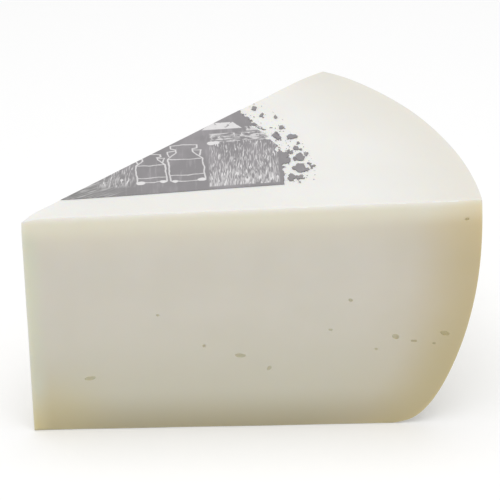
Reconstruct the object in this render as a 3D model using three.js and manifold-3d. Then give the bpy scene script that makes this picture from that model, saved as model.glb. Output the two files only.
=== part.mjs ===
// A wedge of white goat cheese: an eighth of a wheel, cut from the middle out to the rim, with the piece of the
// wheel's film label that the two cuts left on its top. Millimetres, +Z up, the wedge standing on its underside.
// The wheel's axis is the wedge's upright tip. Azimuths run from the front cut, along +X, to the far cut.

import * as THREE from "three";
import { mergeVertices } from "three/addons/utils/BufferGeometryUtils.js";
import Module from "manifold-3d";

const wasm = await Module();
wasm.setup();

// The wheel. The rim is widest at the belly, tucks in over a long curve below it and ends in a crisp upper edge.
const wheelRadius = 181.4; // at the belly
const centreHeight = 99.2; // at the tip, where the wheel has sunk a little
const rimRise = 5.5; // how much higher the top would stand at the belly's radius
const footInset = 31.4; // from the belly in to where the underside is flat
const crownInset = 1.4; // from the belly in to the rim's upper edge
const crownDrop = 22.7; // from the top at the rim down to the belly
const crispShoulder = { width: 3, drop: 3 }; // the upper edge's rounding over most of the rim
const softShoulder = { width: 15, drop: 4 }; // its rounding at the far cut, where the corner has slumped
const softReach = 36; // how far along the rim the slump reaches from the far cut
const bellyHeight = centreHeight + rimRise - crownDrop;

// The cut.
const wedgeAngle = 45;
const sectorSteps = 24; // facets round the wedge
const curveSteps = 8;

// The label, a film that lies on the top: a straight printed edge, a round outer edge and the far cut.
const labelRadius = 134;
const labelThickness = 0.3;
const labelGap = 0.3; // between the cheese and the film
const labelEdgeDistance = 13.65; // from the wheel's axis to the straight edge
const labelEdgeTurn = 3.4; // of the straight edge away from the front cut

// The eyes, small openings in the paste that a cut face lays bare. Each is given by its place, as parts of the way
// from the tip to the belly and from the underside to the top, and by its width and height in millimetres.
const eyeDepth = 1.1;
const frontEyes = [
  { out: 0.133, up: 0.25, size: [4.4, 1.8] },
  { out: 0.471, up: 0.34, size: [4.0, 1.5] },
  { out: 0.536, up: 0.28, size: [1.6, 2.0] },
  { out: 0.817, up: 0.41, size: [2.8, 2.3] },
  { out: 0.859, up: 0.39, size: [2.2, 1.2] },
  { out: 0.927, up: 0.42, size: [3.6, 1.7] },
];
const farEyes = [
  { out: 0.21, up: 0.6, size: [2.6, 1.6] },
  { out: 0.34, up: 0.32, size: [3.8, 1.8] },
  { out: 0.48, up: 0.7, size: [2.2, 1.5] },
  { out: 0.57, up: 0.4, size: [3.2, 2.2] },
  { out: 0.72, up: 0.55, size: [1.8, 1.3] },
  { out: 0.82, up: 0.29, size: [3.4, 1.6] },
  { out: 0.89, up: 0.66, size: [2.4, 1.4] },
];

const wedgeTurn = THREE.MathUtils.degToRad(wedgeAngle);
const topHeight = (radius) => centreHeight + (rimRise * radius) / wheelRadius;

// Half of the wheel's section, from the middle of the underside round the rim to the middle of the top.
// softness goes from 0, the crisp shoulder, to 1, the slumped one.
function wheelOutline(softness) {
  const width = THREE.MathUtils.lerp(crispShoulder.width, softShoulder.width, softness);
  const drop = THREE.MathUtils.lerp(crispShoulder.drop, softShoulder.drop, softness);
  const footRadius = wheelRadius - footInset;
  const edgeRadius = wheelRadius - crownInset;
  const shoulderFoot = topHeight(edgeRadius - width) - drop;
  const path = new THREE.Path();
  path.moveTo(0, 0);
  path.lineTo(footRadius, 0);
  path.absellipse(footRadius, bellyHeight, footInset, bellyHeight, -Math.PI / 2, 0, false, 0);
  path.quadraticCurveTo(wheelRadius, (bellyHeight + shoulderFoot) / 2, edgeRadius, shoulderFoot);
  path.absellipse(edgeRadius - width, shoulderFoot, width, drop, 0, Math.PI / 2, false, 0);
  path.lineTo(0, topHeight(0));
  return withoutRepeats(path.getPoints(curveSteps));
}

// Drops each point that only repeats the one before it, where one curve hands over to the next.
function withoutRepeats(points) {
  return points.filter((point, at) => at === 0 || point.distanceTo(points[at - 1]) > 1e-6);
}

// The label's section: a thin band that follows the slope of the top.
function labelOutline() {
  const underside = (radius) => topHeight(radius) + labelGap;
  return [
    new THREE.Vector2(0, underside(0)),
    new THREE.Vector2(labelRadius, underside(labelRadius)),
    new THREE.Vector2(labelRadius, underside(labelRadius) + labelThickness),
    new THREE.Vector2(0, underside(0) + labelThickness),
  ];
}

// A closed sector of a wheel between the two cuts. outlineAt gives the section at each azimuth, with as many
// points every time, so that the rings of the turned wall can be set one by one.
function sector(outlineAt) {
  const wall = new THREE.LatheGeometry(outlineAt(0), sectorSteps, 0, wedgeTurn);
  const place = wall.getAttribute("position");
  for (let ring = 0, vertex = 0; ring <= sectorSteps; ring++) {
    const azimuth = (wedgeTurn * ring) / sectorSteps;
    for (const point of outlineAt(azimuth)) {
      place.setXYZ(vertex++, point.x * Math.cos(azimuth), point.x * Math.sin(azimuth), point.y);
    }
  }
  const lastRing = place.count - outlineAt(wedgeTurn).length;
  const frontFace = cutFace(outlineAt(0));
  const farFace = cutFace(outlineAt(wedgeTurn)).map((corner) => corner + lastRing);
  wall.setIndex([...wall.index.array, ...frontFace, ...farFace.reverse()]);
  return solidOf(welded(wall));
}

// The section filled in with triangles that face back towards smaller azimuths.
function cutFace(outline) {
  return THREE.ShapeUtils.triangulateShape(outline, []).flat();
}

// The same shape with one shared vertex wherever corners meet, and without the empty triangles on the axis.
function welded(geometry) {
  geometry.deleteAttribute("normal");
  geometry.deleteAttribute("uv");
  const shared = mergeVertices(geometry, 1e-4);
  const corners = Array.from(shared.index.array);
  const kept = [];
  for (let at = 0; at < corners.length; at += 3) {
    const triangle = corners.slice(at, at + 3);
    if (new Set(triangle).size === 3) kept.push(...triangle);
  }
  shared.setIndex(kept);
  return shared;
}

function solidOf(geometry) {
  return new wasm.Manifold(
    new wasm.Mesh({
      numProp: 3,
      vertProperties: geometry.getAttribute("position").array,
      triVerts: new Uint32Array(geometry.index.array),
    }),
  );
}

function geometryOf(solid) {
  const { vertProperties, triVerts } = solid.getMesh();
  const geometry = new THREE.BufferGeometry();
  geometry.setAttribute("position", new THREE.BufferAttribute(vertProperties, 3));
  geometry.setIndex(new THREE.BufferAttribute(triVerts, 1));
  geometry.computeVertexNormals();
  return geometry;
}

// The wheel's softness at an azimuth: nothing over most of the rim, rising smoothly to 1 at the far cut.
function slump(azimuth) {
  const alongRim = (wedgeTurn - azimuth) * wheelRadius;
  return 1 - THREE.MathUtils.smoothstep(alongRim, 0, softReach);
}

// A rounded pit in a cut face: an ellipsoid centred on the face.
function eye({ out, up, size: [width, height] }, azimuth) {
  const ball = welded(new THREE.IcosahedronGeometry(0.5, 2));
  ball.scale(width, 2 * eyeDepth, height);
  ball.translate(out * wheelRadius, 0, up * topHeight(0));
  ball.rotateZ(azimuth);
  return solidOf(ball);
}

function cheeseSolid() {
  const whole = sector((azimuth) => wheelOutline(slump(azimuth)));
  const eyes = [...frontEyes.map((e) => eye(e, 0)), ...farEyes.map((e) => eye(e, wedgeTurn))];
  return eyes.reduce((cheese, pit) => cheese.subtract(pit), whole);
}

// The disc of film, trimmed to what lies beyond the straight edge.
function labelSolid() {
  const reach = 3 * wheelRadius;
  const beyondEdge = welded(new THREE.BoxGeometry(reach, reach, reach))
    .translate(0, labelEdgeDistance + reach / 2, 0)
    .rotateZ(THREE.MathUtils.degToRad(labelEdgeTurn));
  return sector(labelOutline).intersect(solidOf(beyondEdge));
}

function mesh(name, solid, look) {
  const made = new THREE.Mesh(geometryOf(solid), new THREE.MeshStandardMaterial(look));
  made.name = name;
  return made;
}

// The frame's origin is the middle of the wedge's footprint on the surface that it stands on.
const wedge = new THREE.Group();
wedge.position.set(-wheelRadius / 2, (-wheelRadius * Math.sin(wedgeTurn)) / 2, 0);
wedge.add(mesh("cheese", cheeseSolid(), { color: 0xece6d3, roughness: 0.5, metalness: 0 }));
wedge.add(mesh("label", labelSolid(), { color: 0x8f8b8f, roughness: 0.4, metalness: 0 }));

export default wedge;
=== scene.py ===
"""A wedge of white goat cheese, an eighth of a wheel, with its part of the wheel's film label on the top."""
import math

import bpy
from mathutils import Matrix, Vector


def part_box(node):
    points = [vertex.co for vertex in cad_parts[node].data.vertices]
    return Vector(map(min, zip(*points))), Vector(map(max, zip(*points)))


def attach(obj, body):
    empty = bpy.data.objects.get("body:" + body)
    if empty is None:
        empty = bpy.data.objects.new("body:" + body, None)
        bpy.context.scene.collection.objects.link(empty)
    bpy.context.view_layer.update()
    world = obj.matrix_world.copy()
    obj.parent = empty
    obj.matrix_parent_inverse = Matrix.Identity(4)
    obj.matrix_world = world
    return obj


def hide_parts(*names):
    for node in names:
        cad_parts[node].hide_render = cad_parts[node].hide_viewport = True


MM = 0.001

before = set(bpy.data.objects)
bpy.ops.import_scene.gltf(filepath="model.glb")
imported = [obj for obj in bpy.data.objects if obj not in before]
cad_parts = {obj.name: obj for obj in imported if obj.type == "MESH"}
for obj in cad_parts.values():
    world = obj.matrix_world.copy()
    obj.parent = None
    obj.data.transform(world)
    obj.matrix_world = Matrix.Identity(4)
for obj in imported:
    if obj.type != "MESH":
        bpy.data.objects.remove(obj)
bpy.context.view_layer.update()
LOW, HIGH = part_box("cheese")

# The wheel. Its axis is the wedge's upright tip. The wedge lies between the front cut, along +X, and the far
# cut. The crust has dried in and the surface has settled, unevenly, from the full size.
TIP = LOW.copy()
RADIUS = HIGH.x - LOW.x
TURN = math.asin((HIGH.y - LOW.y) / RADIUS)
CENTRE_HEIGHT = 99.2 * MM
RIM_RISE = 5.5 * MM
CROWN_DROP = 22.7 * MM
CROWN_INSET = 1.4 * MM
FOOT_INSET = 31.4 * MM
FLANK_INSET = 0.9 * MM
DRIED_IN = 0.4 * MM
SETTLED = 0.3 * MM
SETTLED_AT_LEAST = 0.06 * MM
BELLY = CENTRE_HEIGHT + RIM_RISE - CROWN_DROP
FOOT_RADIUS = RADIUS - FOOT_INSET

# How finely the wedge is divided.
SHEET_CELLS = 64
TURN_STEPS = 44
EDGE_CREASE = 0.55
SEAM_GAP = 0.02 * MM

# The far upper corner, which has slumped.
DRAW_IN = 1.4 * MM
DRAW_IN_REACH = 60 * MM
SLUMP_DROP = 1.6 * MM
SLUMP_REACH = 22 * MM

# The tip's upper corner, which is a little rounded.
TIP_DROP = 1.4 * MM
TIP_BACK = 0.2 * MM
TIP_REACH = 7 * MM

# The eyes that each cut lays bare, in millimetres: out from the tip, up from the underside, wide, high, and
# the tilt in degrees. Each starts as an oval hollow, EYE_DEPTH of its smaller side deep, and grows unevenly.
EYE_DEPTH = 0.24
EYE_GROWTH = 0.3 * MM
LEAST_EYE_DEPTH = 0.12 * MM
FRONT_EYES = (
    (24.2, 25.1, 4.4, 1.8, -12), (52.4, 54.5, 1.2, 0.9, 0), (70.8, 39.6, 0.7, 1.2, 20),
    (85.4, 34.7, 4.0, 1.6, 4), (97.2, 28.4, 1.2, 2.3, 30), (121.8, 46.1, 1.6, 0.9, 0),
    (129.6, 60.0, 1.5, 1.3, 30), (140.6, 36.6, 1.3, 0.7, 0), (148.3, 42.4, 2.9, 2.2, 30),
    (155.8, 40.1, 2.3, 1.1, 5), (164.0, 38.9, 1.1, 0.7, 0), (168.2, 43.6, 3.8, 1.9, 22),
    (174.4, 96.1, 1.5, 1.0, 0),
)
FAR_EYES = (
    (38, 59, 2.6, 1.6, 10), (47, 22, 1.3, 0.9, 0), (62, 32, 3.8, 1.8, -15), (87, 69, 2.2, 1.5, 25),
    (98, 52, 1.1, 1.0, 0), (103, 40, 3.2, 2.2, 0), (118, 78, 1.2, 0.8, 0), (131, 55, 1.8, 1.3, 15),
    (149, 29, 3.4, 1.6, -8), (155, 47, 1.2, 0.9, 0), (161, 65, 2.4, 1.4, 20),
)

# The label, a film that lies on the top. Its straight edge is turned a little from the front cut.
LABEL_RADIUS = 134 * MM
LABEL_EDGE_DISTANCE = 13.65 * MM
LABEL_EDGE_TURN = math.radians(3.4)
FILM_THICKNESS = 0.12 * MM
FILM_LIFT = 0.12 * MM
FILM_CELL = 3 * MM
FILM_SHORT_OF_CUT = 0.4 * MM

# The print on it, in millimetres: how far from the axis it ends at the front cut, and how much further out
# for each radian from there.
PRINT_RADIUS = 101.5
PRINT_SPREAD = 28


# ---------------------------------------------------------------- selecting and shaping

def only(piece):
    """Makes a piece the one selected and active object."""
    bpy.ops.object.select_all(action="DESELECT")
    piece.select_set(True)
    bpy.context.view_layer.objects.active = piece


def start(add, name, **settings):
    """Adds a primitive with nothing else selected, names it and puts its place into its mesh."""
    bpy.ops.object.select_all(action="DESELECT")
    add(**settings)
    piece = bpy.context.object
    piece.name = piece.data.name = name
    bpy.ops.object.transform_apply(location=True, rotation=True, scale=True)
    return piece


def edit(piece):
    only(piece)
    bpy.ops.object.mode_set(mode="EDIT")


def done():
    bpy.ops.object.mode_set(mode="OBJECT")


def pick(piece, wanted):
    """Selects, in edit mode, the vertices that wanted(place) holds for."""
    done()
    mesh = piece.data
    for part in (mesh.polygons, mesh.edges):
        for item in part:
            item.select = False
    for vertex in mesh.vertices:
        vertex.select = wanted(vertex.co)
    edit(piece)


def apply(piece, kind, **settings):
    """Adds a modifier and applies it."""
    only(piece)
    modifier = piece.modifiers.new(kind.title(), kind)
    for name, value in settings.items():
        setattr(modifier, name, value)
    bpy.ops.object.modifier_apply(modifier=modifier.name)


def top_height(radius):
    """The height of the wheel's top, which rises evenly from the middle to the rim."""
    return CENTRE_HEIGHT + RIM_RISE * radius / RADIUS


def rim_radius(height):
    """How far the rim stands from the axis at a height: a long curve below the belly and a slight one above.
    Below its upper edge the crust has dried in a little from the wheel's full size."""
    below = max(BELLY - height, 0) / BELLY
    above = max(height - BELLY, 0) / CROWN_DROP
    flattening = FLANK_INSET * math.sin(math.pi * below**2)
    rim = FOOT_RADIUS + FOOT_INSET * math.sqrt(1 - below**2) - CROWN_INSET * above**2
    return rim - flattening - DRIED_IN * (1 - above**2)


# ---------------------------------------------------------------- the cheese

def section_sheet():
    """Half the wheel's section, a sheet of quads that stands on the front cut with one side on the axis."""
    sheet = start(bpy.ops.mesh.primitive_plane_add, "cheese_body", size=1,
                  location=TIP + Vector((0.5, 0, 0.5)), rotation=(math.pi / 2, 0, 0))
    edit(sheet)
    bpy.ops.mesh.select_all(action="SELECT")
    bpy.ops.transform.resize(value=(RADIUS, 1, CENTRE_HEIGHT), center_override=TIP)
    pick(sheet, lambda at: at.x - TIP.x > RADIUS / 2 and at.z - TIP.z > CENTRE_HEIGHT / 2)
    bpy.ops.transform.translate(value=(0, 0, RIM_RISE))
    bpy.ops.mesh.select_all(action="SELECT")
    bpy.ops.mesh.subdivide(number_cuts=SHEET_CELLS - 1)
    for row in range(SHEET_CELLS + 1):
        share = row / SHEET_CELLS
        edge_height = share * top_height(RADIUS)

        def in_row(at):
            off_row = (at.z - TIP.z) - share * top_height(at.x - TIP.x)
            return abs(off_row) < 0.2 * CENTRE_HEIGHT / SHEET_CELLS

        pick(sheet, in_row)
        bpy.ops.transform.resize(value=(rim_radius(edge_height) / RADIUS, 1, 1), center_override=TIP)
    done()
    return sheet


def turn_into_wedge(sheet):
    """Spins the section about the axis from the front cut to the far cut, and closes the seam on the axis."""
    edit(sheet)
    bpy.ops.mesh.select_all(action="SELECT")
    bpy.ops.mesh.spin(steps=TURN_STEPS, angle=-TURN, center=TIP, axis=(0, 0, 1))
    bpy.ops.mesh.select_all(action="SELECT")
    bpy.ops.mesh.remove_doubles(threshold=SEAM_GAP)
    bpy.ops.mesh.normals_make_consistent(inside=False)
    bpy.ops.mesh.select_all(action="DESELECT")
    bpy.ops.mesh.edges_select_sharp(sharpness=math.radians(35))
    bpy.ops.transform.edge_crease(value=EDGE_CREASE)
    done()


def slump_far_corner(wedge):
    """Draws the upper corner at the far cut in a little, and lets it sink and round off."""
    outward = Vector((math.cos(TURN), math.sin(TURN), 0))
    corner = TIP + outward * RADIUS + Vector((0, 0, top_height(RADIUS)))
    pick(wedge, lambda at: (at - corner).length < 3 * MM)
    bpy.ops.transform.translate(value=-outward * DRAW_IN, use_proportional_edit=True,
                                proportional_edit_falloff="SMOOTH", proportional_size=DRAW_IN_REACH)
    bpy.ops.transform.translate(value=(0, 0, -SLUMP_DROP), use_proportional_edit=True,
                                proportional_edit_falloff="SHARP", proportional_size=SLUMP_REACH)
    done()


def round_tip(wedge):
    """Lets the tip's upper corner sink and draw back a little."""
    corner = TIP + Vector((0, 0, CENTRE_HEIGHT))
    pick(wedge, lambda at: (at - corner).length < 0.5 * MM)
    back = Vector((math.cos(TURN / 2), math.sin(TURN / 2), 0)) * TIP_BACK
    bpy.ops.transform.translate(value=back - Vector((0, 0, TIP_DROP)), use_proportional_edit=True,
                                proportional_edit_falloff="SMOOTH", proportional_size=TIP_REACH)
    done()


def clouds(name, size):
    """A soft noise for the Displace modifier, with features about size across."""
    texture = bpy.data.textures.new(name, "CLOUDS")
    texture.noise_scale = size
    texture.noise_depth = 1
    return texture


def eye_blobs(eyes, azimuth):
    """Flattened balls that sit in a cut face, one for each eye."""
    outward = Vector((math.cos(azimuth), math.sin(azimuth), 0))
    for out, up, wide, high, tilt in eyes:
        depth = max(EYE_DEPTH * min(wide, high) * MM, LEAST_EYE_DEPTH)
        yield start(bpy.ops.mesh.primitive_ico_sphere_add, "eye", subdivisions=3, radius=0.5,
                    location=TIP + outward * out * MM + Vector((0, 0, up * MM)),
                    rotation=(0, math.radians(tilt), azimuth),
                    scale=(wide * MM - EYE_GROWTH, 2 * depth, high * MM - EYE_GROWTH))


def cut_eyes(cheese):
    """Opens the eyes in both cut faces, as uneven little hollows."""
    blobs = [*eye_blobs(FRONT_EYES, 0), *eye_blobs(FAR_EYES, TURN)]
    only(blobs[0])
    for blob in blobs:
        blob.select_set(True)
    bpy.ops.object.join()
    cutter = bpy.context.object
    apply(cutter, "DISPLACE", texture=clouds("eye_unevenness", 1.6 * MM), strength=EYE_GROWTH, mid_level=0)
    apply(cheese, "BOOLEAN", operation="DIFFERENCE", object=cutter, solver="EXACT")
    bpy.data.objects.remove(cutter)


def note_depths(cheese):
    """Keeps each point's distance behind the nearer cut, in millimetres, for the finish to read."""
    depths = cheese.data.attributes.new("behind_cut", "FLOAT", "POINT")
    for vertex, depth in zip(cheese.data.vertices, depths.data):
        at = vertex.co - TIP
        depth.value = min(at.y, at.x * math.sin(TURN) - at.y * math.cos(TURN)) / MM


def make_cheese():
    cheese = section_sheet()
    turn_into_wedge(cheese)
    slump_far_corner(cheese)
    round_tip(cheese)
    apply(cheese, "SUBSURF", levels=1, render_levels=1)
    cut_eyes(cheese)
    note_depths(cheese)
    apply(cheese, "DISPLACE", texture=clouds("settling", 42 * MM), strength=SETTLED,
          mid_level=1 + SETTLED_AT_LEAST / SETTLED)
    only(cheese)
    bpy.ops.object.shade_smooth_by_angle(angle=math.radians(50))
    return cheese


# ---------------------------------------------------------------- the label

def bisect(piece, place, normal, clear=False):
    """Cuts a piece's mesh along a plane and, where asked, throws away the side that the normal points to."""
    edit(piece)
    bpy.ops.mesh.select_all(action="SELECT")
    bpy.ops.mesh.bisect(plane_co=place, plane_no=normal, clear_outer=clear)
    done()


def make_label(cheese):
    """The film: a disc about the axis, cut along the straight edge and the far cut, laid on the cheese."""
    film = start(bpy.ops.mesh.primitive_circle_add, "label_film", vertices=288, radius=LABEL_RADIUS,
                 fill_type="NGON", location=TIP + Vector((0, 0, CENTRE_HEIGHT + 2 * RIM_RISE)))
    edge_normal = Vector((math.sin(LABEL_EDGE_TURN), -math.cos(LABEL_EDGE_TURN), 0))
    bisect(film, TIP - edge_normal * LABEL_EDGE_DISTANCE, edge_normal, clear=True)
    far_normal = Vector((-math.sin(TURN), math.cos(TURN), 0))
    bisect(film, TIP - far_normal * FILM_SHORT_OF_CUT, far_normal, clear=True)
    along, across = Vector((1, 0, 0)), Vector((0, 1, 0))
    for axis, reach in ((along, LABEL_RADIUS), (across, LABEL_RADIUS * math.sin(TURN))):
        for line in range(1, int(reach / FILM_CELL) + 1):
            bisect(film, TIP + axis * line * FILM_CELL, axis)
    apply(film, "SHRINKWRAP", target=cheese, wrap_method="PROJECT", use_project_z=True,
          use_negative_direction=True, use_positive_direction=False, offset=FILM_LIFT)
    apply(film, "SOLIDIFY", thickness=FILM_THICKNESS, offset=1)
    return film


# ---------------------------------------------------------------- shader wiring

class Wire:
    """One output socket of a material's nodes. Arithmetic on it adds the Math nodes that work it out."""

    def __init__(self, socket):
        self.socket = socket

    def make(self, kind, inputs, output=0, **settings):
        """Adds a node: its settings first, then its inputs by name or number. Gives one of its outputs."""
        tree = self.socket.id_data
        node = tree.nodes.new(kind)
        for name, value in settings.items():
            setattr(node, name, value)
        for slot, value in inputs.items():
            if isinstance(value, Wire):
                tree.links.new(value.socket, node.inputs[slot])
            else:
                node.inputs[slot].default_value = value
        return Wire(node.outputs[output])

    def math(self, operation, *values):
        return self.make("ShaderNodeMath", dict(enumerate(values)), operation=operation)

    def __add__(self, other):
        return self.math("ADD", self, other)

    def __radd__(self, other):
        return self.math("ADD", other, self)

    def __sub__(self, other):
        return self.math("SUBTRACT", self, other)

    def __rsub__(self, other):
        return self.math("SUBTRACT", other, self)

    def __mul__(self, other):
        return self.math("MULTIPLY", self, other)

    def __rmul__(self, other):
        return self.math("MULTIPLY", other, self)

    def __truediv__(self, other):
        return self.math("DIVIDE", self, other)

    def __abs__(self):
        return self.math("ABSOLUTE", self)

    def root(self):
        return self.math("SQRT", self)

    def floor(self):
        return self.math("FLOOR", self)

    def at_least(self, other):
        return self.math("MAXIMUM", self, other)

    def at_most(self, other):
        return self.math("MINIMUM", self, other)

    def rising(self, low, high):
        """0 below low, 1 above high, and smooth between them."""
        return self.make("ShaderNodeMapRange", {"Value": self, "From Min": low, "From Max": high},
                         interpolation_type="SMOOTHSTEP")

    def falling(self, low, high):
        return 1 - self.rising(low, high)

    def mix(self, none, full):
        """The colour none where this is 0 and full where it is 1."""
        return self.make("ShaderNodeMix", {0: self, 6: none, 7: full}, output=2, data_type="RGBA")

    def part(self, index):
        """One coordinate of a vector."""
        return self.make("ShaderNodeSeparateXYZ", {0: self}, output=index)

    def noise(self, size, detail=2.0, stretch=(1, 1, 1), shift=0.0):
        """Soft noise from 0 to 1 over a place in millimetres, with features about size across."""
        scale = tuple(1 / (size * s) for s in stretch)
        spread = self.make("ShaderNodeVectorMath", {0: self, 1: scale, 2: (shift,) * 3},
                           operation="MULTIPLY_ADD")
        return spread.make("ShaderNodeTexNoise", {"Vector": spread, "Scale": 1.0, "Detail": detail},
                           normalize=True)


def colour(red, green, blue):
    """A linear colour from the usual 0 to 255 steps."""
    def linear(step):
        share = step / 255
        return share / 12.92 if share <= 0.04045 else ((share + 0.055) / 1.055) ** 2.4
    return linear(red), linear(green), linear(blue), 1.0


def new_material(name, **fixed):
    """Gives a new material, its Principled shader and the place in millimetres from the foot of the tip."""
    material = bpy.data.materials.new(name)
    material.use_nodes = True
    shader = material.node_tree.nodes["Principled BSDF"]
    for slot, value in fixed.items():
        shader.inputs[slot.replace("_", " ")].default_value = value
    coordinates = Wire(material.node_tree.nodes.new("ShaderNodeTexCoord").outputs["Object"])
    offset = tuple(-c / MM for c in TIP)
    place = coordinates.make("ShaderNodeVectorMath", {0: coordinates, 1: (1 / MM,) * 3, 2: offset},
                             operation="MULTIPLY_ADD")
    return material, shader, place


def connect(shader, **wires):
    for slot, wire in wires.items():
        wire.socket.id_data.links.new(wire.socket, shader.inputs[slot.replace("_", " ")])


# ---------------------------------------------------------------- the cheese's finish

def depths(place):
    """In millimetres: how far from the axis, below the top, inside the rim, above the base, behind a cut."""
    x, y, z = place.part(0), place.part(1), place.part(2)
    radius = (x * x + y * y).root()
    below_top = radius * (RIM_RISE / RADIUS) + CENTRE_HEIGHT / MM - z
    belly = BELLY / MM
    below = ((belly - z) / belly).at_least(0)
    above = ((z - belly) / (CROWN_DROP / MM)).at_least(0)
    reach = (1 - below * below).at_least(0).root() * (FOOT_INSET / MM) + FOOT_RADIUS / MM
    inside_rim = reach - above * above * (CROWN_INSET / MM) - radius
    behind_cut = place.make("ShaderNodeAttribute", {}, output="Fac", attribute_name="behind_cut")
    return radius, below_top, inside_rim, z, behind_cut


def paste_colour(place, radius, below_top, inside_rim, above_base):
    """Off-white inside, and yellower towards the rim, the underside and the tip. Painted light makes it
    lighter upwards, and painted shade, with the drier paste by the crust, makes it darker towards the
    underside.
    """
    paste = place.noise(26).rising(0.3, 0.7).mix(colour(219, 214, 202), colour(216, 211, 198))
    # Painted light: the cut is lighter in the 23 mm under the top, where more light falls from above.
    paste = below_top.falling(0, 23).mix(paste, colour(229, 222, 203))
    # Painted shade, partly also the drier paste by the crust: the cut darkens towards the underside over 70
    # mm.
    paste = above_base.falling(0, 70).mix(paste, colour(205, 201, 182))
    paste = (radius.falling(4, 40) * above_base.falling(2, 36)).mix(paste, colour(207, 196, 157))
    # Painted shade, partly the drier paste by the crust: the lowest 20 mm of the cut is darker still.
    bottom_crust_and_shade = radius.falling(5, 45).mix(colour(179, 170, 141), colour(193, 182, 145))
    paste = above_base.falling(-2, 20).mix(paste, bottom_crust_and_shade)
    paste = (inside_rim.falling(12, 58) * 0.35).mix(paste, colour(204, 190, 160))
    # The yellow band by the rim is lighter upwards, as the rest of the cut, partly as painted light from
    # above.
    rim_edge = above_base.rising(20, 75).mix(colour(197, 184, 145), colour(204, 189, 151))
    rim_edge = above_base.rising(74, 108).mix(rim_edge, colour(219, 202, 161))
    paste = (inside_rim + place.noise(30) * 8 - 4).falling(2, 30).mix(paste, rim_edge)
    # The band by the tip is lighter upwards, partly as painted light from above, and yellower at its foot.
    tip_edge = above_base.rising(25, 60).mix(colour(209, 209, 191), colour(216, 217, 199))
    tip_edge = above_base.falling(0, 24).mix(tip_edge, colour(207, 196, 156))
    return (radius + place.noise(16) * 3 - 1.5).falling(2, 9).mix(paste, tip_edge)


def paint_highlight_under_the_top(paste, place, below_top, inside_rim):
    """Paints a highlight along the cut's upper edge: the paste fades to cream and white just under the top,
    and bits of coat along the edge are painted white as glints.
    """
    edge_fade = below_top + place.noise(9) * 1.5 - 0.7
    near_rim = inside_rim.falling(0, 24)
    cream = near_rim.mix(colour(235, 231, 212), colour(233, 222, 190))
    # Painted highlight: cream within about 12 mm of the top and white within about 3.5 mm, where the upper
    # edge rounds over into the light.
    paste = edge_fade.falling(2, 12).mix(paste, cream)
    paste = (edge_fade.falling(-0.5, 3.5) * (1 - 0.5 * near_rim)).mix(paste, colour(246, 243, 236))
    # Painted highlight: white flecks in the top 0.7 mm of the cut, bits of coat painted as glints.
    edge_glint_flecks = below_top.falling(0.2, 0.7) * place.noise(9, detail=3, shift=2.5).rising(0.58, 0.62)
    return edge_glint_flecks.mix(paste, colour(252, 252, 249))


def coat_colour(place, radius, off_top, brushing, pores):
    """White on the top, with painted shade darkening it towards the rim, and mottled, brushed and pored on
    the rim and the underside.
    """
    coat = place.noise(40).rising(0.35, 0.7).mix(colour(238, 237, 233), colour(235, 234, 229))
    # Painted shade: the coat darkens from 135 mm out from the axis to the rim, where the top's shoulder turns
    # away from the light.
    coat = radius.rising(135, 182).mix(coat, colour(229, 226, 217))
    mottling = place.noise(17, detail=4, shift=3.1).rising(0.35, 0.7)
    coat = (off_top * mottling * 0.75).mix(coat, colour(219, 213, 192))
    coat = (off_top * brushing * 0.4).mix(coat, colour(242, 241, 236))
    return (off_top * pores * 0.5).mix(coat, colour(205, 196, 168))


def cheese_material():
    """Bare paste on the two cuts, darker and yellower in the eyes, the darkness being painted shade, and the
    coat on the rest of the cheese.
    """
    material, shader, place = new_material(
        "cheese_paste_and_coating", Subsurface_Weight=0.35, Subsurface_Scale=0.004,
        Subsurface_Radius=(1.0, 0.75, 0.45), Specular_IOR_Level=0.4)
    radius, below_top, inside_rim, above_base, behind_cut = depths(place)
    skin_depth = below_top.at_most(inside_rim).at_most(above_base)
    coated = behind_cut.rising(0.05, 0.5) * skin_depth.falling(4, 6)
    in_eye = behind_cut.rising(0.05, 0.4) * skin_depth.rising(4, 6)
    off_top = below_top.rising(2, 16)
    brushing = place.noise(1.6, detail=3, stretch=(14, 14, 1)).rising(0.4, 0.75)
    pores = place.noise(1.1, detail=1, shift=7.7).rising(0.68, 0.76)

    paste = paste_colour(place, radius, below_top, inside_rim, above_base)
    # Painted highlight along the cut's upper edge.
    paste = paint_highlight_under_the_top(paste, place, below_top, inside_rim)
    # Painted shade with a yellower tint: the eyes' hollows are made darker.
    paste = (in_eye * 0.4).mix(paste, colour(197, 190, 143))
    coat = coat_colour(place, radius, off_top, brushing, pores)

    streaks = place.noise(2.2, detail=3, stretch=(1, 1, 60))
    grain = place.noise(0.9, detail=3)
    dimples = place.noise(2.6, detail=2) * 0.8 - pores * 0.5 + brushing * 0.35
    height = coated * off_top * dimples + streaks * 0.5 + grain * 0.25 + place.noise(14) * 1.2
    bump = height.make("ShaderNodeBump", {"Height": height, "Strength": 0.35, "Distance": 0.1 * MM})
    connect(shader, Base_Color=coated.mix(paste, coat), Normal=bump,
            Roughness=0.42 + 0.12 * place.noise(8) - 0.06 * coated)
    return material


# ---------------------------------------------------------------- the label's print

def stroke(u, v, begin, end):
    """How far a point is from a straight line between two others."""
    along, up = end[0] - begin[0], end[1] - begin[1]
    from_begin, above_begin = u - begin[0], v - begin[1]
    share = (from_begin * along + above_begin * up) / (along**2 + up**2)
    share = share.at_least(0).at_most(1)
    aside, over = from_begin - share * along, above_begin - share * up
    return (aside * aside + over * over).root()


def outline(u, v, points):
    """How far a point is from the line that joins a row of points."""
    nearest = stroke(u, v, points[0], points[1])
    for begin, end in zip(points[1:], points[2:]):
        nearest = nearest.at_most(stroke(u, v, begin, end))
    return nearest


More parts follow.
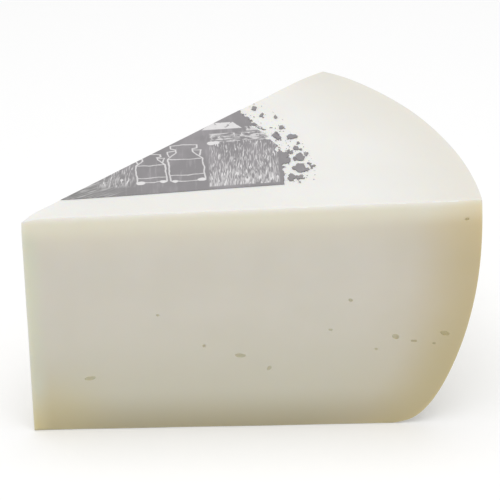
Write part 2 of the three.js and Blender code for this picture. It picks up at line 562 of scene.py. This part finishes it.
def churn(u, v, middle, base, height, half_width):
    """How far a point is from the lines of a drawn milk churn: body, neck, lid, handles and two hoops."""
    side, up = abs(u - middle), v - base
    neck, lid, shoulder, collar = 0.5 * half_width, 0.78 * half_width, 0.6 * height, 0.78 * height
    body = outline(side, up, ((0, -0.4), (half_width, 0), (half_width, shoulder), (neck, collar),
                              (neck, 0.87 * height), (lid, 0.89 * height), (lid, 0.97 * height), (0, height)))
    handle = outline(side, up, ((neck, 0.84 * height), (half_width, 0.82 * height),
                                (0.9 * half_width, 0.68 * height)))
    upper_hoop = stroke(side, up, (0, shoulder - 0.6), (half_width, shoulder))
    lower_hoop = stroke(side, up, (0, 0.14 * height), (half_width, 0.16 * height))
    return body.at_most(handle).at_most(upper_hoop).at_most(lower_hoop)


def patch(u, v, low_u, high_u, low_v, high_v, soft=1.0):
    """1 inside a box and 0 outside it, with soft edges."""
    across = u.rising(low_u, low_u + soft) * u.falling(high_u - soft, high_u)
    return across * v.rising(low_v, low_v + soft) * v.falling(high_v - soft, high_v)


def grass(u, v, low_v, high_v, cover, lean):
    """Fine upright strokes, close together at the bottom and few at the top."""
    bent = u.make("ShaderNodeCombineXYZ", {0: u - v * lean, 1: v, 2: 0.0})
    thinning = (v - low_v) * (0.14 / (high_v - low_v))
    fine = (bent.noise(0.5, detail=1, stretch=(1, 11, 1)) - thinning + cover).rising(0.46, 0.62)
    bold = (bent.noise(0.75, detail=1, stretch=(1, 7, 1), shift=9.2) - thinning + cover).rising(0.6, 0.66)
    return (fine * 0.55).at_least(bold * 0.9)


def dabs(u, v, places, flatness):
    """How far a point is outside the nearest of some oval dabs, each given by its middle and half width.
    flatness is their width as a share of their height."""
    nearest = None
    for at_u, at_v, size in places:
        aside, over = u - at_u, (v - at_v) * flatness
        gap = (aside * aside + over * over).root() - size
        nearest = nearest.at_most(gap) if nearest else gap
    return nearest


def churns_on_the_ground(place, u, v):
    """Two milk churns in thin line, with dabs of white where they stand."""
    u = u + place.noise(4.5) * 1.5 - 0.75
    v = v + place.noise(4.5, shift=3.7) * 2 - 1
    lines = churn(u, v, 52.6, 9.5, 24, 6).at_most(churn(u, v, 67, 9, 31, 7)).falling(0.16, 0.46)
    feet = dabs(u, v, ((48, 9, 1.7), (57.2, 9.2, 1.5), (61.6, 8.8, 1.4), (72.4, 9.2, 1.7)), 1.3)
    return (lines * 0.85).at_least(feet.falling(-0.3, 0.3))


def barn_and_fence(place, u, v):
    """A plain barn with a pale roof, and rows of rails before it."""
    u = u + place.noise(3) * 1.2 - 0.6
    dry_brush = place.noise(1.6, detail=3, stretch=(1, 2, 1))
    gable_sides = (v - u * 1.2).falling(-38.9, -38.1) * (v + u * 1.6).falling(199.5, 200.5)
    roof = patch(u, v, 75, 93, 51.5, 58, 0.6) * gable_sides
    wall = patch(u, v, 93.5, 102, 48.5, 53.5) * dry_brush.rising(0.38, 0.5) * 0.75
    level = u.make("ShaderNodeCombineXYZ", {0: u, 1: v, 2: 7.0}).noise(0.8, detail=2, stretch=(4, 1.1, 1))
    spacing = u * 0.31 + place.noise(2)
    posts = (spacing - spacing.floor()).falling(0.08, 0.18) * place.noise(4, shift=8.1).rising(0.5, 0.55)
    rails = patch(u, v, 78, 103, 39.5, 48.5) * level.rising(0.49, 0.55).at_least(posts) * 0.8
    bush = dabs(u, v, ((78.6, 39.6, 1.7), (80.6, 39.9, 1.5)), 1.05).falling(-0.3, 0.3)
    return (roof * dry_brush.rising(0.3, 0.42)).at_least(wall).at_least(rails).at_least(bush)


def drawing(place, u, v):
    """Where the label's white drawing lies, as a share of full white."""
    waver = u + place.noise(9) * 1.4 - 0.7
    meadow = grass(waver, v, 2, 40, 0.07, 0.08) * patch(u - v * 0.08, v, 74.2, 103.5, 1.6, 41, 1.2)
    tuft = grass(waver, v, 5, 24, 0.05, 0.12) * patch(u, v, 29, 47.5, 5.5, 27, 4)
    slanted = u.make("ShaderNodeCombineXYZ", {0: u, 1: v - u * 0.5, 2: 4.4})
    sweeps = slanted.noise(1.1, detail=2, stretch=(7, 1, 1)).rising(0.45, 0.7) * u.falling(30, 46) * 0.5
    picture = churns_on_the_ground(place, u, v).at_least(barn_and_fence(place, u, v))
    return picture.at_least(meadow).at_least(tuft).at_least(sweeps)


# The blots of ink past the print's ragged edge, in millimetres: the place along the label's straight edge and
# away from it, and half the width. They are taller than wide.
BLOT_FLATNESS = 0.62
BLOTS = (
    (112.6, 41.5, 1.7), (109.3, 49.4, 0.8), (114.5, 34.5, 0.7), (113.2, 30.0, 1.4), (110.4, 27.4, 1.2),
    (113.4, 23.0, 1.9), (116.6, 25.0, 1.0), (117.4, 14.6, 0.8), (112.8, 13.0, 2.5), (111.8, 5.6, 1.5),
    (108.6, 5.0, 1.1), (111.4, 1.7, 0.7), (106.0, 42.6, 1.5), (107.2, 60.0, 0.5), (101.6, 62.6, 0.6),
    (99.3, 69.6, 0.7), (95.4, 70.4, 0.8), (105.4, 23.0, 4.0),
)


def ink_cover(place, u, v, past_edge):
    """Where the print covers the film: up to a ragged edge, then in blots and specks."""
    unevenness = place.noise(7) * 7 + place.noise(1.8, detail=2) * 4 - 5.5
    panel = (past_edge + unevenness).falling(-0.3, 0.3)
    gap = outline(u, v, ((97, 53), (101.5, 47), (105.5, 36), (108.5, 31))) - place.noise(3) * 1.6
    lower_gap = stroke(u, v, (106, -2), (107, 13)) - place.noise(3.5, shift=1.9) * 2.6
    panel = panel * gap.rising(-0.3, 0.2) * lower_gap.rising(-0.3, 0.2)
    blots = dabs(u, v, BLOTS, BLOT_FLATNESS) + place.noise(2.3, detail=4, stretch=(1, 1.8, 1)) * 7 - 3.5
    specks = place.noise(1.2, detail=1, shift=5.1).rising(0.7, 0.72) * past_edge.falling(9, 13)
    return panel.at_least(blots.falling(-0.25, 0.25)).at_least(specks * v.rising(1, 3))


def label_material():
    """Grey print with a white drawing, on a film that is clear where it isn't printed."""
    material, shader, place = new_material("label_film", Roughness=0.4, Specular_IOR_Level=0.4)
    x, y = place.part(0), place.part(1)
    cos, sin = math.cos(LABEL_EDGE_TURN), math.sin(LABEL_EDGE_TURN)
    u, v = x * cos + y * sin, y * cos - x * sin - LABEL_EDGE_DISTANCE / MM
    radius = (x * x + y * y).root()
    past_edge = radius - PRINT_RADIUS - y.math("ARCTAN2", y, x) * PRINT_SPREAD

    tone = place.noise(9, detail=3, stretch=(1, 2.5, 1)).rising(0.4, 0.75)
    grey = tone.mix(colour(141, 138, 140), colour(156, 152, 155))
    scuffs = place.noise(1.4, detail=2, stretch=(1, 9, 1), shift=6.3).rising(0.55, 0.75)
    grey = (scuffs * 0.5).mix(grey, colour(172, 168, 171))
    grey = radius.falling(26, 60).mix(grey, colour(133, 132, 131))
    white = place.noise(3).mix(colour(216, 214, 214), colour(238, 236, 236))
    wrinkles = place.noise(18) * 0.6 + place.noise(3) * 0.1
    bump = wrinkles.make("ShaderNodeBump", {"Height": wrinkles, "Strength": 0.3, "Distance": 0.2 * MM})
    connect(shader, Base_Color=drawing(place, u, v).mix(grey, white), Normal=bump,
            Alpha=ink_cover(place, u, v, past_edge))
    return material


# ---------------------------------------------------------------- the studio

def floor():
    """A wide pale floor that the wedge stands on."""
    plane = start(bpy.ops.mesh.primitive_plane_add, "floor", size=8, location=(0, 0, LOW.z - 0.05 * MM))
    material, shader, place = new_material("floor_paint", Roughness=0.9, Specular_IOR_Level=0.1,
                                           Emission_Color=(1, 1, 1, 1), Emission_Strength=0.09)
    connect(shader, Base_Color=place.noise(900).mix(colour(246, 246, 246), colour(248, 248, 248)))
    plane.data.materials.append(material)


def lamp(name, place, aim, size, power):
    """A square soft light at a place, turned to an aim."""
    light = bpy.data.lights.new(name, "AREA")
    light.size = size
    light.energy = power
    holder = bpy.data.objects.new(name, light)
    bpy.context.collection.objects.link(holder)
    holder.location = place
    holder.rotation_euler = (Vector(aim) - Vector(place)).to_track_quat("-Z", "Y").to_euler()


def studio():
    world = bpy.data.worlds.new("studio")
    world.use_nodes = True
    world.node_tree.nodes["Background"].inputs["Color"].default_value = (1, 1, 1, 1)
    world.node_tree.nodes["Background"].inputs["Strength"].default_value = 0.535
    bpy.context.scene.world = world
    lamp("ceiling_softbox", place=(0, -0.2, 1.6), aim=(0, 0, 0), size=1.6, power=16.3)
    bpy.context.scene.view_settings.view_transform = "Standard"


def camera():
    """Looks down on the front cut from close by, a little to the left of the wedge's middle."""
    data = bpy.data.cameras.new("camera")
    data.lens = 142.3
    data.sensor_width = 36
    holder = bpy.data.objects.new("camera", data)
    bpy.context.collection.objects.link(holder)
    holder.location = TIP + Vector((65.4, -675.3, 467.3)) * MM
    looking_down, turned_right = math.radians(29.57), math.radians(2.03)
    holder.rotation_euler = (math.pi / 2 - looking_down, 0, -turned_right)
    bpy.context.scene.camera = holder


def main():
    camera()
    studio()
    floor()
    cheese = make_cheese()
    cheese.data.materials.append(cheese_material())
    label = make_label(cheese)
    label.data.materials.append(label_material())
    for piece, node, slot in (
            (cheese, "cheese", "cheese_paste_and_coating"), (label, "label", "label_film")):
        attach(piece, "root")
        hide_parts(node)


main()
